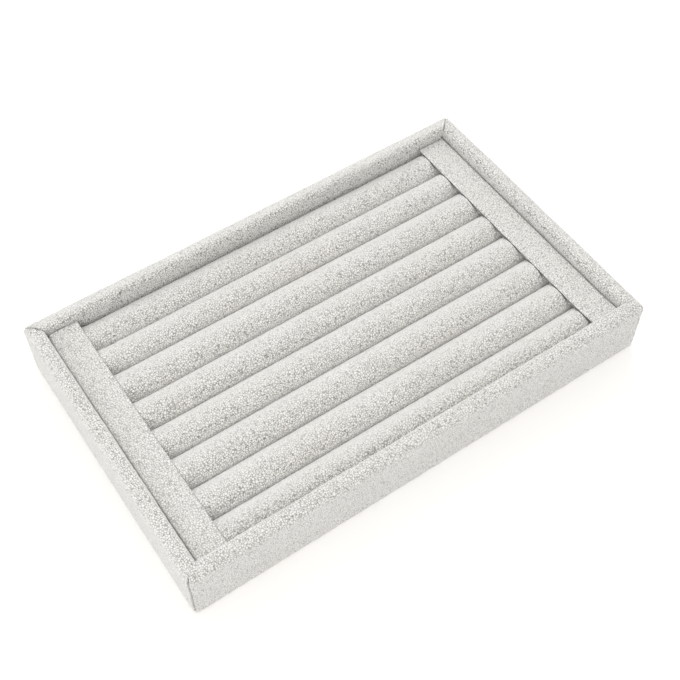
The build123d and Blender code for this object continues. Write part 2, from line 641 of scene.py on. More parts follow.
class PatchMesh:
    """A mesh made of grids of quads, each with its own place on the bake map."""

    def __init__(self) -> None:
        """Start with no points and no faces."""
        self.points: list[np.ndarray] = []
        self.nap_and_shading: list[np.ndarray] = []
        self.count = 0
        self.faces: list[list[int]] = []
        self.map: list[np.ndarray] = []

    def add_points(self, points: np.ndarray, nap_and_shading: float | np.ndarray = OPEN_NAP) -> np.ndarray:
        """Add a grid of points.

        Args:
            points: rows by columns by 3, in metres.
            nap_and_shading: how open the pile stands, for all points or for each column.

        Returns:
            The number of each point, rows by columns.
        """
        rows, columns = points.shape[:2]
        self.points.append(points.reshape(-1, 3))
        self.nap_and_shading.append(np.broadcast_to(nap_and_shading, (rows, columns)).ravel())
        index = self.count + np.arange(rows * columns).reshape(rows, columns)
        self.count += rows * columns
        return index

    def add_grid(self, index: np.ndarray, area: MapArea) -> None:
        """Lay quads over a grid of point numbers.

        Args:
            index: rows by columns of point numbers.
            area: its place on the bake map.
        """
        rows, columns = index.shape
        low_u, low_v, high_u, high_v = area.value
        u = np.linspace(low_u, high_u, rows)
        v = np.linspace(low_v, high_v, columns)
        spot = np.stack(np.meshgrid(u, v, indexing="ij"), axis=-1)
        corners = ((0, 0), (1, 0), (1, 1), (0, 1))
        cut = [(slice(a, rows - 1 + a), slice(b, columns - 1 + b)) for a, b in corners]
        self.faces += np.stack([index[c] for c in cut], axis=-1).reshape(-1, 4).tolist()
        self.map.append(np.stack([spot[c] for c in cut], axis=2).reshape(-1, 2))

    def add_strip(self, many: np.ndarray, few: np.ndarray, area: MapArea) -> None:
        """Close a narrow edge between a dense row of points and a coarse one.

        Args:
            many: point numbers along the dense row.
            few: point numbers along the coarse row, the same way.
            area: its place on the bake map.
        """
        low_u, low_v, high_u, high_v = area.value
        self.faces.append([*many.tolist(), *few[::-1].tolist()])
        near = np.stack([np.linspace(low_u, high_u, len(many)), np.full(len(many), low_v)], axis=1)
        far = np.stack([np.linspace(high_u, low_u, len(few)), np.full(len(few), high_v)], axis=1)
        self.map += [near, far]

    def build(self, name: str, material: bpy.types.Material) -> bpy.types.Object:
        """Make the object.

        Args:
            name: name of the piece.
            material: its finish.

        Returns:
            The new object, its faces turned outwards and shaded smooth.
        """
        mesh = bpy.data.meshes.new(name)
        mesh.from_pydata(np.concatenate(self.points).tolist(), [], self.faces)
        spots = mesh.uv_layers.new(name=BAKE_MAP)
        spots.uv.foreach_set("vector", np.concatenate(self.map).astype(np.float32).ravel())
        set_nap_and_shading(mesh, np.concatenate(self.nap_and_shading))
        return finish_mesh(mesh, name, material)


def set_nap_and_shading(mesh: bpy.types.Mesh, values: np.ndarray) -> None:
    """Tell the velvet how open its pile stands at each point of a mesh."""
    layer = mesh.attributes.new(NAP_AND_SHADING, "FLOAT", "POINT")
    layer.data.foreach_set("value", values.astype(np.float32))


def face_outwards(mesh: bpy.types.Mesh) -> None:
    """Turn the faces of a closed mesh outwards.

    Args:
        mesh: the mesh.
    """
    work = bmesh.new()
    work.from_mesh(mesh)
    bmesh.ops.recalc_face_normals(work, faces=work.faces)
    work.to_mesh(mesh)
    work.free()


def put_in_scene(name: str, data: bpy.types.ID) -> bpy.types.Object:
    """Make an object and put it in the scene.

    Args:
        name: name of the object.
        data: its mesh, or the data of a lamp or a camera.

    Returns:
        The new object.
    """
    thing = bpy.data.objects.new(name, data)
    bpy.context.scene.collection.objects.link(thing)
    return thing


def finish_mesh(
    mesh: bpy.types.Mesh, name: str, material: bpy.types.Material
) -> bpy.types.Object:
    """Turn a mesh's faces outwards, shade it smooth and put it in the scene.

    Args:
        mesh: the mesh.
        name: name of the piece.
        material: its finish.

    Returns:
        The new object.
    """
    face_outwards(mesh)
    mesh.polygons.foreach_set("use_smooth", np.ones(len(mesh.polygons), bool))
    mesh.materials.append(material)
    mesh.validate()
    return put_in_scene(name, mesh)


def register(piece: bpy.types.Object, node: str) -> bpy.types.Object:
    """Let a velvet piece ride on the tray and stand for its solid.

    Args:
        piece: the piece.
        node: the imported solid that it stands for.

    Returns:
        The piece.
    """
    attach(piece, BODY)
    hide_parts(node)
    LOG.info("%s: %d faces", piece.name, len(piece.data.polygons))
    return piece


# Sub-assemblies


class Side(Enum):
    """The four walls, each with its outward direction in plan."""

    FRONT = (0, -1)
    REAR = (0, 1)
    LEFT = (-1, 0)
    RIGHT = (1, 0)


class Corner(Enum):
    """The four corners of the frame, each with its direction in plan."""

    REAR_LEFT = (-1, 1)
    REAR_RIGHT = (1, 1)
    FRONT_RIGHT = (1, -1)
    FRONT_LEFT = (-1, -1)


@dataclass(frozen=True)
class Seam:
    """How the wraps of two walls meet at one mitred corner.

    Attributes:
        rim: depth of its crease across the rim, in metres.
        edge: depth of its crease down the outer edge, in metres.
        stray: how far the seam strays to either side of its place, in metres.
        ribs: height of the puckers beside it, in metres.
        bend: radius that the wraps have in plan round the corner, in metres.
        lap: how far the long wall's cloth runs on round the corner, in metres.
        gap: width of the slit that stays open between the two wraps, in metres.
    """

    rim: float
    edge: float
    stray: float
    ribs: float
    bend: float
    lap: float = 0.0
    gap: float = 0.0


@dataclass
class FrameWraps:
    """The velvet over the four walls, with seams at the mitred corners.

    Each wrap starts inside at the bottom, goes up, over the rim and down the
    outside, and turns under the base. Its nap is given for the outside, the
    rim and the inside. It paints light and shade there as well as the pile:
    high and darker on the inner faces in shade, low and lighter where light falls.
    """

    velvet: bpy.types.Material
    cloth: float = 0.9 * MM
    least_cloth: float = 0.1 * MM
    outer_radius: float = 3.3 * MM
    inner_radius: dict[Side, float] = field(default_factory=lambda: {
        Side.FRONT: 2.0 * MM, Side.REAR: 2.8 * MM, Side.LEFT: 2.0 * MM, Side.RIGHT: 2.8 * MM,
    })
    hem_radius: float = 1.0 * MM
    turn_under: float = 7.0 * MM
    rim_crown: float = 0.25 * MM
    seam_gap: float = 0.04 * MM
    seam_round: float = 0.35 * MM
    parting: float = 0.16 * MM
    parted_depth: float = 0.7 * MM
    board_outer_radius: float = 2.4 * MM
    board_inner_radius: float = 1.1 * MM
    stray_length: float = 3.0 * MM
    stray_seed: int = 81
    stray_start: tuple[float, float] = (0.3, 0.1)
    rib_length: float = 1.8 * MM
    rib_reach: float = 7.0 * MM
    rib_sway: float = 2.5
    rib_seed: int = 83
    outer_rib_share: float = 0.5
    end_reach: float = 6.0 * MM
    end_spacing: float = 0.25 * MM
    tip_reach: float = 1.2 * MM
    tip_spacing: float = 0.12 * MM
    # Painted light and shade: outside, rim and inside are set to how brightly each is lit. The rear
    # and right inner faces are high, painted shade. The front and left inner edges are low, a
    # painted highlight along them.
    nap_and_shading: dict[Side, tuple[float, float, float]] = field(default_factory=lambda: {
        Side.FRONT: (0.75, 0.7, 0.2),
        Side.REAR: (0.5, 0.45, 1.0),
        Side.LEFT: (0.5, 0.75, 0.2),
        Side.RIGHT: (0.5, 0.65, 1.0),
    })
    spacing: float = 0.45 * MM
    hidden_spacing: float = 2.5 * MM
    hidden_depth: float = 9.0 * MM
    pile: Pile = Pile(seed=11)
    sway: Sway = Sway(26 * MM, 0.22 * MM, 21)
    seams: dict[Corner, Seam] = field(default_factory=lambda: {
        Corner.REAR_LEFT: Seam(
            rim=0.9 * MM, edge=0.5 * MM, stray=0.4 * MM, ribs=0.15 * MM, bend=2.2 * MM
        ),
        Corner.REAR_RIGHT: Seam(
            rim=0.9 * MM, edge=0.6 * MM, stray=0.1 * MM, ribs=0.03 * MM, bend=1.6 * MM
        ),
        Corner.FRONT_RIGHT: Seam(
            rim=0.05 * MM, edge=0.6 * MM, stray=0.3 * MM, ribs=0.22 * MM, bend=2.6 * MM,
            lap=0.3 * MM,
        ),
        Corner.FRONT_LEFT: Seam(
            rim=0.05 * MM, edge=1.1 * MM, stray=0.5 * MM, ribs=0.15 * MM, bend=2.0 * MM,
            lap=0.4 * MM, gap=0.1 * MM,
        ),
    })

    def section(
        self, side: Side, wall: float, height: float, floor: float
    ) -> tuple[np.ndarray, np.ndarray]:
        """The wrap's outer line, as (in from the outer face, up).

        Args:
            side: which wall.
            wall: thickness of the wrapped wall.
            height: height of the rim.
            floor: level of the base board's top.

        Returns:
            Places and outward directions.
        """
        outer, inner, hem = self.outer_radius, self.inner_radius[side], self.hem_radius
        step = self.spacing
        right, half = 0.0, math.pi / 2
        seen_from = height - self.hidden_depth
        places, outs = trace([
            Run((wall, floor), (wall, seen_from), self.hidden_spacing),
            Run((wall, seen_from), (wall, height - inner), step),
            Bend((wall - inner, height - inner), inner, right, half, step),
            Run((wall - inner, height), (outer, height), step),
            Bend((outer, height - outer), outer, half, 2 * half, step),
            Run((0.0, height - outer), (0.0, hem), step),
            Bend((hem, hem), hem, 2 * half, 3 * half, step),
            Run((hem, 0.0), (self.turn_under, 0.0), step * 2),
        ])
        crown = np.sin(np.pi * np.clip(places[:, 0] / wall, 0, 1)) ** 2 * np.clip(outs[:, 1], 0, 1)
        return places + self.rim_crown * crown[:, None] * outs, outs

    def stations(self, half: float) -> np.ndarray:
        """Places along a wall, closer together near its ends.

        Args:
            half: half the wall's length.

        Returns:
            Places from one end to the other, as shares of that half.
        """
        open_part = np.arange(0, half - self.end_reach, self.spacing)
        ends = np.arange(half - self.end_reach, half - self.tip_reach, self.end_spacing)
        count = round(self.tip_reach / self.tip_spacing) + 1
        tips = np.linspace(half - self.tip_reach, half, count)
        right = np.concatenate([open_part, ends, tips]) / half
        return np.concatenate([-right[:0:-1], right])

    def place(
        self, side: Side, along: np.ndarray, inward: np.ndarray, up: np.ndarray
    ) -> np.ndarray:
        """Turn a wall's own lengths into places in the tray.

        Cloth that runs on past the mitre goes round the corner.

        Args:
            side: which wall.
            along: place along the wall, from its middle.
            inward: distance in from the outer face.
            up: height.

        Returns:
            Places in metres, in a last axis of 3.
        """
        reach = np.array(CAD_BOX[1])[:2]
        out_x, out_y = side.value
        across, lengthwise = (reach[0], reach[1]) if out_x else (reach[1], reach[0])
        past = np.maximum(np.abs(along) - (lengthwise - inward), 0)
        along = along - np.sign(along) * past
        out = across - inward - past
        plan = np.stack([out_x * out - out_y * along, out_y * out + out_x * along], axis=-1)
        bend = np.zeros(plan.shape[:-1])
        for corner, seam in self.seams.items():
            bend = np.where((plan * corner.value > 0).all(axis=-1), seam.bend, bend)
        beyond = np.maximum(np.abs(plan) - (reach - bend[..., None]), 0)
        span = np.maximum(np.hypot(beyond[..., 0], beyond[..., 1]), LEAST)
        squeeze = np.where(span > LEAST, beyond.max(axis=-1) / span, 1)[..., None]
        plan = np.sign(plan) * (np.abs(plan) - beyond * (1 - squeeze))
        return np.concatenate([plan, np.broadcast_to(up, along.shape)[..., None]], axis=-1)

    def gather(
        self, side: Side, along: np.ndarray, places: np.ndarray, outs: np.ndarray, half: np.ndarray
    ) -> tuple[np.ndarray, np.ndarray, np.ndarray]:
        """Shape the seam at each end of a wall.

        Args:
            side: which wall.
            along: stations by section places, the place along the wall.
            places: the section's places.
            outs: the section's outward directions.
            half: half the wall's length at each section place.

        Returns:
            The places along the wall with the seams' wander, how far the
            cloth stands out for their creases and puckers, and how far its
            pile parts, from 0 to 1.
        """
        arc = run_length(places)
        out_x, out_y = side.value
        swell, parted_and_shaded = np.zeros_like(along), np.zeros_like(along)
        turn = 1 if out_y else -1
        level, outward = np.clip(outs[:, 1], 0, 1), np.clip(-outs[:, 0], 0, 1)
        moved = along.copy()
        for end in (-1, 1):
            corner = Corner((out_x - out_y * end, out_y + out_x * end))
            seam = self.seams[corner]
            start = sum(way * step for way, step in zip(corner.value, self.stray_start))
            line = in_space(arc, 0.0, start)
            stray = seam.stray * LatticeNoise(self.stray_length, self.stray_seed).at(line)
            from_end = np.maximum(half[None, :] - end * along, 0)
            moved += end * turn * (seam.lap + stray)[None, :] * np.exp(-from_end / self.end_reach)
            moved -= end * seam.gap / math.sqrt(2) * np.exp(-from_end / self.tip_reach)
            distance = from_end / math.sqrt(2)
            crease = np.exp(-((distance / self.seam_round) ** 2))
            depth = (seam.rim * level + seam.edge * outward)[None, :]
            swell -= depth * crease
            opened = np.exp(-((distance / self.parting) ** 2))
            parted_and_shaded += np.clip(depth / self.parted_depth, 0, 1) * opened
            plan = self.place(side, along, places[:, 0], 0)
            phase = LatticeNoise(self.rib_reach, self.rib_seed).at(plan)
            wave = np.sin(2 * np.pi * distance / self.rib_length + self.rib_sway * phase)
            fade = np.exp(-((distance / self.rib_reach) ** 2)) * (1 - crease)
            share = np.maximum(level, self.outer_rib_share * outward)[None, :]
            swell += seam.ribs * wave * fade * share
        return moved, swell, np.clip(parted_and_shaded, 0, 1)

    def over_board(
        self, places: np.ndarray, wall: float, height: float, floor: float
    ) -> np.ndarray:
        """How far the wrap's outer line lies over the bare board.

        Args:
            places: the section's places.
            wall: thickness of the wrapped wall.
            height: height of the rim.
            floor: level of the base board's top.

        Returns:
            One distance for each place, and under the board the cloth's own thickness.
        """
        across, up = places[:, 0], places[:, 1]
        inner_face, top = wall - self.cloth, height - self.cloth
        over = np.maximum(np.maximum(self.cloth - across, across - inner_face), up - top)
        for radius, out in (
            (self.board_outer_radius, self.cloth + self.board_outer_radius - across),
            (self.board_inner_radius, across - inner_face + self.board_inner_radius),
        ):
            above = up - top + radius
            over = np.where((out > 0) & (above > 0), np.hypot(out, above) - radius, over)
        return np.where(up < floor, self.cloth, over)

    def build(self, side: Side) -> bpy.types.Object:
        """Build one wall's wrap.

        Args:
            side: which wall.

        Returns:
            The wrap, a closed layer as thick as the cloth.
        """
        name = side.name.lower()
        low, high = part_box(f"{name}_wall_velvet")
        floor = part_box("base_board")[1].z
        wall, height = min(high.x - low.x, high.y - low.y), high.z
        reach = CAD_BOX[1].x if side.value[1] else CAD_BOX[1].y
        places, outs = self.section(side, wall, height, floor)
        gap = self.seam_gap / 2 * math.sqrt(2)
        half = reach - places[:, 0] - gap
        along = self.stations(reach)[:, None] * half[None, :]
        along, shift, parted_and_shaded = self.gather(side, along, places, outs, half)
        even = self.place(side, along, places[:, 0], places[:, 1])
        level = np.clip(places[:, 1] / height, 0, 1)[None, :]
        shift += self.sway.at(even) * level - self.pile.sink(even)
        shift = np.maximum(shift, self.least_cloth - self.over_board(places, wall, height, floor))
        inward = places[None, :, 0] + shift * outs[None, :, 0]
        up = np.maximum(places[None, :, 1] + shift * outs[None, :, 1], 0)
        along = along * (1 + (places[None, :, 0] - inward) / half[None, :])
        outer = self.place(side, along, inward, up)
        back = places - self.cloth * outs
        back_half = reach - back[:, 0] - gap
        inner = self.place(side, np.outer([-1, 1], back_half), back[:, 0], back[:, 1])
        mesh = PatchMesh()
        # Painted light and shade by which way each part of the section faces
        nap_and_shading = np.interp(outs[:, 0], (-1, 0, 1), self.nap_and_shading[side])
        skin = mesh.add_points(outer, nap_and_shading + parted_and_shaded * (PARTED_AND_SHADED_NAP - nap_and_shading))
        lining = mesh.add_points(inner)
        mesh.add_grid(skin, MapArea.SKIN)
        mesh.add_grid(lining[::-1], MapArea.LINING)
        mesh.add_grid(np.stack([lining[0], skin[0]]), MapArea.FIRST_HEM)
        mesh.add_grid(np.stack([skin[-1], lining[-1]]), MapArea.LAST_HEM)
        mesh.add_strip(skin[:, 0], lining[:, 0], MapArea.FIRST_END)
        mesh.add_strip(skin[:, -1], lining[:, -1], MapArea.LAST_END)
        piece = register(mesh.build(f"{name}_wall_wrap", self.velvet), f"{name}_wall_velvet")
        return piece


def near_knots(places: np.ndarray, knots: np.ndarray, reach: float) -> np.ndarray:
    """Weights that carry values at knots smoothly to places between them.

    Args:
        places: where the values are wanted.
        knots: where they are known.
        reach: how far a knot is felt.

    Returns:
        One row of weights for each place, which add up to 1.
    """
    weight = np.exp(-(((places[:, None] - knots[None, :]) / reach) ** 2))
    return weight / weight.sum(axis=1, keepdims=True)


@dataclass
class FoamSwell:
    """Cloth simulation of the sleeves, swollen by the foam squeezed inside them.

    The crown of each sleeve is free. Its base, its sides against the next
    roll and its ends under the bars are pinned.
    """

    pressure: float = 30.0
    stiffness: float = 5.0
    frames: int = 20
    limit: float = 0.6 * MM
    spacing: float = 3.2 * MM
    uneven: float = 0.5
    uneven_length: float = 30.0 * MM
    seed: int = 91
    knots: np.ndarray = field(init=False)
    forms: list[bpy.types.Object] = field(init=False, default_factory=list)
    shapes: list[np.ndarray] = field(init=False, default_factory=list)

    def add(self, places: np.ndarray, middle: float, edge: float, spring: float) -> None:
        """Make one sleeve's coarse form, ready to swell.

        Args:
            places: the section, the last place the same as the first.
            middle: the roll's place across the tray.
            edge: distance of the bars from the middle, along the roll.
            spring: height where the crown starts.
        """
        arc = run_length(places)
        around = np.linspace(0, arc[-1], round(arc[-1] / self.spacing) + 1)[:-1]
        self.knots = np.linspace(-edge, edge, round(2 * edge / self.spacing) + 1)
        across, up = (np.interp(around, arc, places[:, k]) for k in range(2))
        rows, columns = len(self.knots), len(around)
        grid = in_space(self.knots[:, None], middle + across, up)
        index = np.arange(rows * columns).reshape(rows, columns)
        beside = np.roll(index, -1, axis=1)
        faces = np.stack([index[:-1], index[1:], beside[1:], beside[:-1]], axis=-1).reshape(-1, 4)
        closed = [*faces.tolist(), index[0].tolist(), index[-1].tolist()]
        mesh = bpy.data.meshes.new("sleeve_form")
        mesh.from_pydata(grid.reshape(-1, 3).tolist(), [], closed)
        face_outwards(mesh)
        form = put_in_scene("sleeve_form", mesh)
        held = np.broadcast_to(up <= spring, (rows, columns)).copy()
        held[[0, -1]] = True
        pins = form.vertex_groups.new(name="pins")
        pins.add(index[held].tolist(), 1.0, "REPLACE")
        noise = LatticeNoise(self.uneven_length, self.seed).at(grid)
        push = form.vertex_groups.new(name="push")
        for number, value in enumerate(np.clip(1 - self.uneven * (1 + noise) / 2, 0, 1).flat):
            push.add([number], float(value), "REPLACE")
        cloth = form.modifiers.new("cloth", "CLOTH")
        cloth.settings.vertex_group_mass = "pins"
        cloth.settings.use_pressure = True
        cloth.settings.uniform_pressure_force = self.pressure
        cloth.settings.vertex_group_pressure = "push"
        cloth.settings.tension_stiffness = self.stiffness
        cloth.settings.compression_stiffness = self.stiffness
        cloth.settings.effector_weights.gravity = 0
        self.forms.append(form)
        self.shapes.append(grid)

    def run(self) -> list[np.ndarray]:
        """Swell all the forms at once, and take them away.

        Returns:
            How far each knot of each form has moved, no further than the limit.
        """
        scene = bpy.context.scene
        for number in range(1, self.frames + 1):
            scene.frame_set(number)
        graph = bpy.context.evaluated_depsgraph_get()
        moves = []
        for form, start in zip(self.forms, self.shapes):
            swollen = form.evaluated_get(graph).to_mesh()
            after = np.empty(len(swollen.vertices) * 3)
            swollen.vertices.foreach_get("co", after)
            move = after.reshape(start.shape) - start
            length = np.maximum(np.linalg.norm(move, axis=-1, keepdims=True), LEAST)
            LOG.info("%s swells %.2f mm at most", form.name, length.max() / MM)
            moves.append(move * np.minimum(1, self.limit / length))
            form.evaluated_get(graph).to_mesh_clear()
        for form in self.forms:
            mesh = form.data
            bpy.data.objects.remove(form)
            bpy.data.meshes.remove(mesh)
        scene.frame_set(1)
        return moves


@dataclass
class RollBed:
    """The velvet sleeves of the foam rolls, pressed down by the bars at both ends.

    The bulge beside the bars is given for the left and the right end. The nap
    runs from the side of a roll that faces the front to the one that faces the
    rear, at the outward directions of nap_and_shading_at. It paints light and shade: high
    and darker, painted shade, on the slopes that face the front, away from the
    light from behind; lower down in the groove, painted light there; low and
    lighter, painted light, on the slopes that face the rear.
    """

    velvet: bpy.types.Material
    cloth: float = 0.9 * MM
    crown_rise_share: float = 0.88
    shoulder_radius_share: float = 0.85
    bar_gap: float = -0.1 * MM
    end_round: float = 0.15 * MM
    bulge: tuple[float, float] = (0.5 * MM, 0.2 * MM)
    squeeze: float = 0.12 * MM
    squeeze_power: int = 4
    bulge_length: float = 4.0 * MM
    press: float = 0.05 * MM
    base_radius: float = 1.2 * MM
    spacing: float = 0.42 * MM
    end_steps_mm: tuple[float, ...] = (1.2, 0.85, 0.55, 0.3, 0.15, 0.08, 0.03, 0.0)
    under_rows: int = 7
    hidden_spacing: float = 2.5 * MM
    # Painted light and shade: the front-facing slopes are set high and darker, the groove lower and
    # lighter, and the rear-facing slopes low and lighter
    nap_and_shading_at: tuple[float, ...] = (-1.0, -0.7, 0.0, 0.5, 1.0)
    nap_and_shading: tuple[float, ...] = (0.6, 0.85, 0.65, 0.32, 0.32)
    side_pile: float = 0.3
    fill: float = 0.85
    pile: Pile = Pile(seed=31)
    sway: Sway = Sway(18 * MM, 0.12 * MM, 41)
    swell: FoamSwell = field(default_factory=FoamSwell)

    def section(self, half: float, base: float, crown: float) -> tuple[np.ndarray, np.ndarray]:
        """The sleeve's outer line round one roll, from the middle of its base.

        Args:
            half: half the roll's width.
            base: level of its base.
            crown: level of its highest point.

        Returns:
            Places and outward directions, the last place the same as the first.
        """
        rise, shoulder = self.crown_rise_share * half, self.shoulder_radius_share * half
        spring, offset, excess = crown - rise, half - shoulder, rise - shoulder
        drop = (offset**2 - excess**2) / (2 * excess)
        top = shoulder + math.hypot(offset, drop)
        lean = math.atan2(offset, drop)
        quarter, radius = math.pi / 2, self.base_radius
        step, hidden = self.spacing, self.hidden_spacing
        return trace([
            Run((0.0, base), (half - radius, base), hidden),
            Bend((half - radius, base + radius), radius, -quarter, 0.0, radius),
            Run((half, base + radius), (half, spring), hidden / 2),
            Bend((offset, spring), shoulder, 0.0, quarter - lean, step),
            Bend((0.0, spring - drop), top, quarter - lean, quarter + lean, step),
            Bend((-offset, spring), shoulder, quarter + lean, 2 * quarter, step),
            Run((-half, spring), (-half, base + radius), hidden / 2),
            Bend((radius - half, base + radius), radius, 2 * quarter, 3 * quarter, radius),
            Run((radius - half, base), (0.0, base), hidden),
        ])

    def stations(self, reach: float, edge: float) -> np.ndarray:
        """Places along a roll: close together between the bars, far apart under them.

        Args:
            reach: half the roll's length.
            edge: distance of the bars' inner sides from the middle.

        Returns:
            Places from one end to the other, with two at each bar's side.
        """
        closing = edge - np.array(self.end_steps_mm) * MM
        open_part = np.linspace(0, closing[0], round(closing[0] / self.spacing) + 1)
        under = np.linspace(edge + self.press, reach, self.under_rows)
        right = np.concatenate([open_part, closing[1:], under])
        return np.concatenate([-right[:0:-1], right])

    def build(self) -> list[bpy.types.Object]:
        """Build every roll's sleeve, swollen by its foam.

        Returns:
            The sleeves, the rear one first.
        """
        nodes = [n for n in frame["nodes"] if n.startswith("roll_") and n.endswith("_velvet")]
        nodes.sort()
        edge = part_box("right_bar_velvet")[0].x - self.bar_gap
        for node in nodes:
            low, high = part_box(node)
            half = (high.y - low.y) / 2
            places, _ = self.section(half, low.z, high.z)
            spring = high.z - self.crown_rise_share * half
            self.swell.add(places, (high.y + low.y) / 2, edge, spring)
        return [self.sleeve(node, move) for node, move in zip(nodes, self.swell.run())]

    def sleeve(self, node: str, move: np.ndarray | None) -> bpy.types.Object:
        """Build one roll's sleeve.

        Args:
            node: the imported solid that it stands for.

        Returns:
            The sleeve, a closed layer as thick as the cloth.
        """
        low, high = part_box(node)
        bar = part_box("right_bar_velvet")[0]
        edge, pressed = bar.x - self.bar_gap, bar.z - self.press
        half, middle = (high.y - low.y) / 2, (high.y + low.y) / 2
        places, outs = self.section(half, low.z, high.z)
        x = self.stations(high.x, edge)
        even = in_space(x[:, None], middle + places[:, 0], places[:, 1])
        crest = np.clip((places[:, 1] - (high.z - half)) / half, 0, 1)[None, :]
        shift = self.sway.at(even) * crest
        shift -= self.pile.sink(even) * (self.side_pile + (1 - self.side_pile) * crest)
        shift += self.squeeze * outs[None, :, 0] ** self.squeeze_power
        from_bar = edge - np.abs(x)[:, None]
        bulge = np.where(x < 0, *self.bulge)[:, None]
        shift += bulge * crest * np.exp(-((from_bar / self.bulge_length) ** 2))
        turn = np.clip(1 - from_bar / self.end_round, 0, 1)
        shift -= self.end_round * crest * (1 - np.sqrt(1 - turn**2))
        outer = even + shift[..., None] * np.insert(outs, 0, 0, axis=1)[None]
        if move is not None:
            arc = run_length(places)
            along = near_knots(x, self.swell.knots, self.swell.spacing)
            ring = np.linspace(0, arc[-1], move.shape[1] + 1)[:-1]
            around = near_knots(arc, ring, self.swell.spacing)
            outer += np.einsum("ip,pqk,jq->ijk", along, move, around) * crest[..., None]
        under = from_bar < 0
        outer[..., 2] = np.where(under, np.minimum(outer[..., 2], pressed), outer[..., 2])
        ends = np.array([edge, edge + self.press, high.x])
        rows = np.clip(np.searchsorted(x, [*-ends[::-1], *ends]), 0, len(x) - 1)
        limits = np.array([pressed, pressed, high.z, high.z, pressed, pressed]) - self.cloth
        back = even[rows] - self.cloth * np.insert(outs, 0, 0, axis=1)[None]
        back[..., 2] = np.minimum(back[..., 2], limits[:, None])
        mesh = PatchMesh()
        # Painted light and shade by which way each part of the section faces
        skin = mesh.add_points(outer[:, :-1], np.interp(outs[:-1, 0], self.nap_and_shading_at, self.nap_and_shading))
        inside = mesh.add_points(back[:, :-1])
        skin = np.concatenate([skin, skin[:, :1]], axis=1)
        inside = np.concatenate([inside, inside[:, :1]], axis=1)
        mesh.add_grid(skin, MapArea.SKIN)
        mesh.add_grid(inside[::-1], MapArea.LINING)
        mesh.add_grid(np.stack([inside[0], skin[0]]), MapArea.FIRST_END)
        mesh.add_grid(np.stack([skin[-1], inside[-1]]), MapArea.LAST_END)
        piece = register(mesh.build(node.replace("velvet", "sleeve"), self.velvet), node)
        return piece


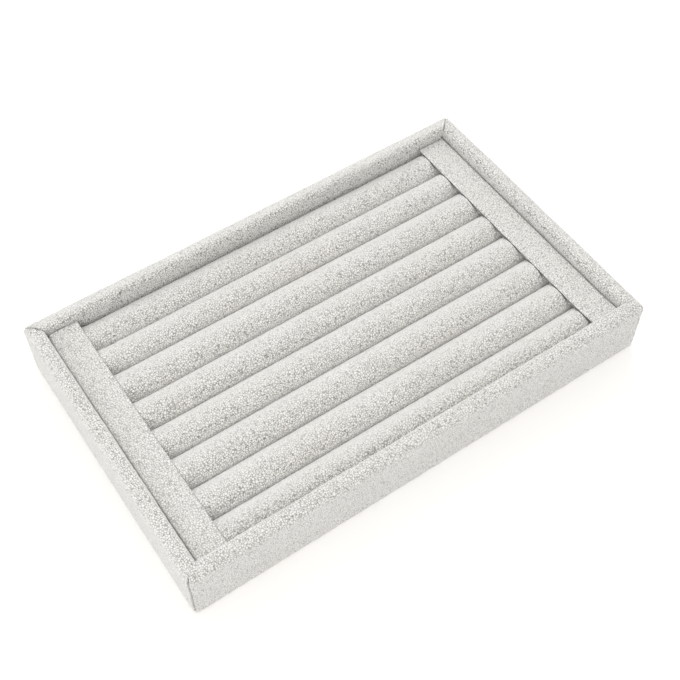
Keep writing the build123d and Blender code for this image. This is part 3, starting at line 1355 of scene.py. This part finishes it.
@dataclass
class EndBars:
    """The velvet of the two flat bars, folded round their thin boards.

    Pairs of numbers are for the front and the rear end of a bar. Below its top edge, the side that
    faces the rolls is painted dark with the pile's roots, as painted shade in the hollows under
    that edge.
    """

    velvet: bpy.types.Material
    cloth: float = 0.9 * MM
    edge_radius: float = 0.8 * MM
    under_radius: float = 0.6 * MM
    undercut: float = 1.9 * MM
    undercut_limit: float = 0.8 * MM
    # Painted shade: the side that faces the rolls turns dark from the first share of the bar's
    # depth to the second
    painted_shade_nap: float = 1.9
    painted_shade_from: float = 0.15
    painted_shade_to: float = 0.35
    undercut_reach: float = 4.0 * MM
    undercut_from: float = 0.1
    turn_under: float = 4.0 * MM
    snug: float = 0.05 * MM
    underside_share: float = 0.98
    under_slope: float = 0.3
    nap_and_shading: dict[Side, float] = field(default_factory=lambda: {Side.LEFT: 0.6, Side.RIGHT: 0.65})
    lift_length: float = 20.0 * MM
    spacing: float = 0.45 * MM
    pile: Pile = Pile(depth=0.1 * MM, seed=51)
    sway: Sway = Sway(20 * MM, 0.12 * MM, 61)
    lifts: dict[Side, tuple[float, float]] = field(default_factory=lambda: {
        Side.LEFT: (0.0, 1.8 * MM), Side.RIGHT: (1.4 * MM, 0.0),
    })
    swells: dict[Side, tuple[float, float]] = field(default_factory=lambda: {
        Side.LEFT: (0.7 * MM, 1.1 * MM), Side.RIGHT: (0.0, 0.0),
    })

    def block(self, low: Vector, high: Vector) -> bmesh.types.BMesh:
        """A box cut into small squares.

        Args:
            low: its lowest corner.
            high: its highest corner.

        Returns:
            The box, open underneath between the turned edges.
        """
        size = high - low
        work = bmesh.new()
        matrix = Matrix.Translation((low + high) / 2) @ Matrix.Diagonal((*size, 1))
        bmesh.ops.create_cube(work, size=1, matrix=matrix)
        for axis in range(3):
            edges = [
                e for e in work.edges
                if abs((e.verts[0].co - e.verts[1].co)[axis]) > size[axis] / 2
            ]
            cuts = round(size[axis] / self.spacing) - 1
            bmesh.ops.subdivide_edges(work, edges=edges, cuts=cuts, use_grid_fill=True)
        middle, half = (low + high) / 2, size / 2
        inner = [half[k] - self.turn_under for k in range(2)]
        gone = []
        for face in work.faces:
            centre = face.calc_center_median() - middle
            below = centre.z < -self.underside_share * half.z
            if below and all(abs(centre[k]) < inner[k] for k in range(2)):
                gone.append(face)
        bmesh.ops.delete(work, geom=gone, context="FACES")
        return work

    def rounded(
        self, points: np.ndarray, low: np.ndarray, high: np.ndarray
    ) -> tuple[np.ndarray, np.ndarray]:
        """Round a box's edges.

        Args:
            points: places on the box.
            low: its lowest corner.
            high: its highest corner.

        Returns:
            The rounded places and the outward direction at each.
        """
        upper = points[:, 2] > (low[2] + high[2]) / 2
        radius = np.where(upper, self.edge_radius, self.under_radius)[:, None]
        core = np.clip(points, low + radius, high - radius)
        out = points - core
        out /= np.maximum(np.linalg.norm(out, axis=1, keepdims=True), LEAST)
        return core + radius * out, out

    def lift(self, side: Side, points: np.ndarray, low: np.ndarray, high: np.ndarray) -> np.ndarray:
        """How far each point rises where a bar's end rides up on its wall.

        Args:
            side: which bar.
            points: places on the bar.
            low: the bar's lowest corner.
            high: its highest corner.

        Returns:
            One height for each point, none at the bar's underside.
        """
        front, rear = self.lifts[side]
        share = np.clip((points[:, 2] - low[2]) / (high[2] - low[2]), 0, 1)
        near_front = np.clip(1 - (points[:, 1] - low[1]) / self.lift_length, 0, 1)
        near_rear = np.clip(1 - (high[1] - points[:, 1]) / self.lift_length, 0, 1)
        return share * (front * near_front**2 + rear * near_rear**2)

    def draw_in(
        self, side: Side, points: np.ndarray, low: np.ndarray, high: np.ndarray
    ) -> np.ndarray:
        """How far each point moves towards the bar's wall.

        The edge over the rolls is drawn in under the bar's top, and the edge
        beside the wall stands out a little, more at one end.

        Args:
            side: which bar.
            points: places on the bar.
            low: the bar's lowest corner.
            high: its highest corner.

        Returns:
            One shift for each point, along the tray.
        """
        from_rolls = high[0] - points[:, 0] if side is Side.LEFT else points[:, 0] - low[0]
        depth, toward_front = (np.clip((high - points) / (high - low), 0, 1)[:, k] for k in (2, 1))
        depth = np.clip((depth - self.undercut_from) / (1 - self.undercut_from), 0, 1)
        near_rolls = np.clip(1 - from_rolls / self.undercut_reach, 0, 1)
        near_wall = np.clip(1 - (high[0] - low[0] - from_rolls) / self.undercut_reach, 0, 1)
        front, rear = self.swells[side]
        swell = rear + (front - rear) * toward_front
        under = np.minimum(self.undercut * depth, self.undercut_limit)
        return side.value[0] * (under * near_rolls + swell * near_wall)

    def build(self, side: Side) -> bpy.types.Object:
        """Build one bar's velvet.

        Args:
            side: which bar.

        Returns:
            The velvet, a closed layer as thick as the cloth.
        """
        bar = f"{side.name.lower()}_bar"
        low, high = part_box(f"{bar}_velvet")
        work = self.block(low, high)
        mesh = bpy.data.meshes.new(f"{bar}_wrap")
        work.to_mesh(mesh)
        work.free()
        lowest, highest = np.array(low), np.array(high)
        points, out = self.rounded(np.array([v.co for v in mesh.vertices]), lowest, highest)
        # Painted shade: the side that faces the rolls gets the dark roots below its top edge,
        # standing for the shade under that edge
        toward_rolls = np.clip(-side.value[0] * out[:, 0], 0, 1)
        depth = (highest[2] - points[:, 2]) / (highest[2] - lowest[2])
        parted_and_shaded = np.clip((depth - self.painted_shade_from) / (self.painted_shade_to - self.painted_shade_from), 0, 1)
        set_nap_and_shading(mesh, self.nap_and_shading[side] + toward_rolls * parted_and_shaded * (self.painted_shade_nap - self.nap_and_shading[side]))
        up = np.clip(out[:, 2], 0, 1)
        shift = self.sway.at(points) * up - self.pile.sink(points) + self.snug * (1 - up)
        shift = np.where(out[:, 2] < -self.under_slope, 0, shift)
        points = points + shift[:, None] * out
        points[:, 0] += self.draw_in(side, points, lowest, highest)
        points[:, 2] += self.lift(side, points, lowest, highest)
        mesh.vertices.foreach_set("co", points.astype(np.float32).ravel())
        piece = finish_mesh(mesh, f"{bar}_wrap", self.velvet)
        thick = piece.modifiers.new("cloth", "SOLIDIFY")
        thick.thickness = self.cloth
        thick.offset = -1
        register(piece, f"{bar}_velvet")
        return piece


@dataclass
class BottomCover:
    """The sheet of velvet under the base board, between the turned edges."""

    velvet: bpy.types.Material
    spacing: float = 0.8 * MM
    nap_and_shading: float = 0.6
    pile: Pile = Pile(clump=1.2 * MM, depth=0.2 * MM, seed=71)

    def build(self) -> bpy.types.Object:
        """Build the sheet.

        Returns:
            The sheet, its pile side down and no lower than the floor.
        """
        low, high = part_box("bottom_cover")
        x, y = (
            np.linspace(low[k], high[k], round((high[k] - low[k]) / self.spacing) + 1)
            for k in range(2)
        )
        even = in_space(x[:, None], y, low.z)
        even[..., 2] += self.pile.sink(even)
        mesh = PatchMesh()
        skin = mesh.add_points(even, self.nap_and_shading)
        back = mesh.add_points(in_space(x[[0, -1], None], y[[0, -1]], high.z))
        mesh.add_grid(skin[::-1], MapArea.SKIN)
        mesh.add_grid(back, MapArea.LINING)
        mesh.add_strip(skin[:, 0], back[:, 0], MapArea.FIRST_HEM)
        mesh.add_strip(skin[::-1, -1], back[::-1, -1], MapArea.LAST_HEM)
        mesh.add_strip(skin[0, ::-1], back[0, ::-1], MapArea.FIRST_END)
        mesh.add_strip(skin[-1, :], back[-1, :], MapArea.LAST_END)
        piece = register(mesh.build("bottom_cover_sheet", self.velvet), "bottom_cover")
        return piece


@dataclass
class HiddenCore:
    """The boards, foam and card inside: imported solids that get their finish."""

    finishes: dict[str, bpy.types.Material]

    def dress(self) -> None:
        """Give each rigid solid and each foam the material of its record slot."""
        slots = {s["node"]: s["material_slot"] for s in frame["record"]["subparts"]}
        for node, solid in frame["nodes"].items():
            if slots[node] not in self.finishes:
                continue
            solid.data.materials.clear()
            solid.data.materials.append(self.finishes[slots[node]])
            LOG.info("%s: %s", node, slots[node])


@dataclass(frozen=True)
class SoftBox:
    """A large square lamp with a soft edge, aimed at the tray.

    Attributes:
        name: what it is called.
        place: its middle, in metres.
        watts: its power.
        size: its side, in metres.
    """

    name: str
    place: tuple[float, float, float]
    watts: float
    size: float = 1.1

    def hang(self, target: Vector) -> bpy.types.Object:
        """Hang the lamp.

        Args:
            target: what it is aimed at.

        Returns:
            The lamp.
        """
        data = bpy.data.lights.new(self.name, "AREA")
        data.shape = "SQUARE"
        data.size = self.size
        data.energy = self.watts
        lamp = put_in_scene(self.name, data)
        lamp.location = self.place
        lamp.rotation_euler = (target - Vector(self.place)).to_track_quat("-Z", "Y").to_euler()
        return lamp


@dataclass
class Studio:
    """Pale sweep, soft lamps and the camera at the photograph's angle.

    Angles are in degrees. The azimuth is from straight in front, to the right.
    """

    focal_px: float = 1160.54
    image_px: float = 680.0
    sensor_mm: float = 36.0
    azimuth: float = -34.17
    elevation: float = 54.79
    roll: float = -0.08
    distance: float = 534.63 * MM
    target: tuple[float, float, float] = (0.16 * MM, -3.32 * MM, 15.0 * MM)
    nearest: float = 0.01
    farthest: float = 20.0
    floor_size: float = 6.0
    sky_strength: float = 0.9
    lamps: tuple[SoftBox, ...] = (
        SoftBox("key", (0.6, 1.2, 1.2), 9.0),
        SoftBox("fill", (-1.1, -0.6, 0.9), 5.6),
    )
    paper: SweepPaper = field(default_factory=SweepPaper)

    def add_camera(self) -> bpy.types.Object:
        """Aim the camera as the tray's edges in the photograph say.

        Returns:
            The scene's camera.
        """
        azimuth, elevation, roll = map(math.radians, (self.azimuth, self.elevation, self.roll))
        flat = math.cos(elevation)
        back = Vector((math.sin(azimuth) * flat, -math.cos(azimuth) * flat, math.sin(elevation)))
        level = (-back).cross(Vector((0, 0, 1))).normalized()
        upright = level.cross(-back)
        right = math.cos(roll) * level + math.sin(roll) * upright
        up = math.cos(roll) * upright - math.sin(roll) * level
        data = bpy.data.cameras.new("camera")
        data.sensor_width = self.sensor_mm
        data.lens = self.focal_px * self.sensor_mm / self.image_px
        data.clip_start, data.clip_end = self.nearest, self.farthest
        camera = put_in_scene("camera", data)
        turn = Matrix((right, up, back)).transposed().to_4x4()
        place = Vector(self.target) + back * self.distance
        camera.matrix_world = Matrix.Translation(place) @ turn
        bpy.context.scene.camera = camera
        return camera

    def add_floor(self) -> bpy.types.Object:
        """Lay the white paper under the tray.

        Returns:
            The floor, which is stage and no part of the tray.
        """
        work = bmesh.new()
        bmesh.ops.create_grid(work, x_segments=2, y_segments=2, size=self.floor_size / 2)
        mesh = bpy.data.meshes.new("floor")
        work.to_mesh(mesh)
        work.free()
        mesh.materials.append(self.paper.material())
        floor = put_in_scene("floor", mesh)
        return floor

    def add_sky(self) -> None:
        """Even white light from all round, plain white where it is seen."""
        world = bpy.data.worlds.new("studio")
        world.use_nodes = True
        tree = world.node_tree
        tree.nodes.clear()
        strength = add_node(
            tree,
            "MapRange",
            {"Value": seen_share(tree), "To Min": self.sky_strength, "To Max": 1.0},
        ).outputs["Result"]
        sky = add_node(
            tree, "Background", {"Color": linear(self.paper.white), "Strength": strength}
        )
        add_node(tree, "OutputWorld", {"Surface": sky.outputs[0]})
        bpy.context.scene.world = world

    def set_up(self) -> None:
        """Put camera, floor and light in place."""
        self.add_camera()
        self.add_floor()
        for lamp in self.lamps:
            lamp.hang(Vector(self.target))
        self.add_sky()
        bpy.context.scene.view_settings.view_transform = "Standard"


def main() -> None:
    """Build the tray's looks in order, from the outside in."""
    logging.basicConfig(level=logging.INFO, format="%(name)s: %(message)s")
    Studio().set_up()
    velvet = ShortPileVelvet().material()
    wraps = FrameWraps(velvet)
    for side in Side:
        wraps.build(side)
    RollBed(velvet).build()
    bars = EndBars(velvet)
    for side in (Side.LEFT, Side.RIGHT):
        bars.build(side)
    BottomCover(velvet).build()
    HiddenCore({
        "fibreboard": PRESSED_FIBREBOARD.material(),
        "roll_foam": OPEN_CELL_FOAM.material(),
        "grey_card": RECYCLED_GREY_CARD.material(),
    }).dress()


if __name__ == "__main__":
    main()
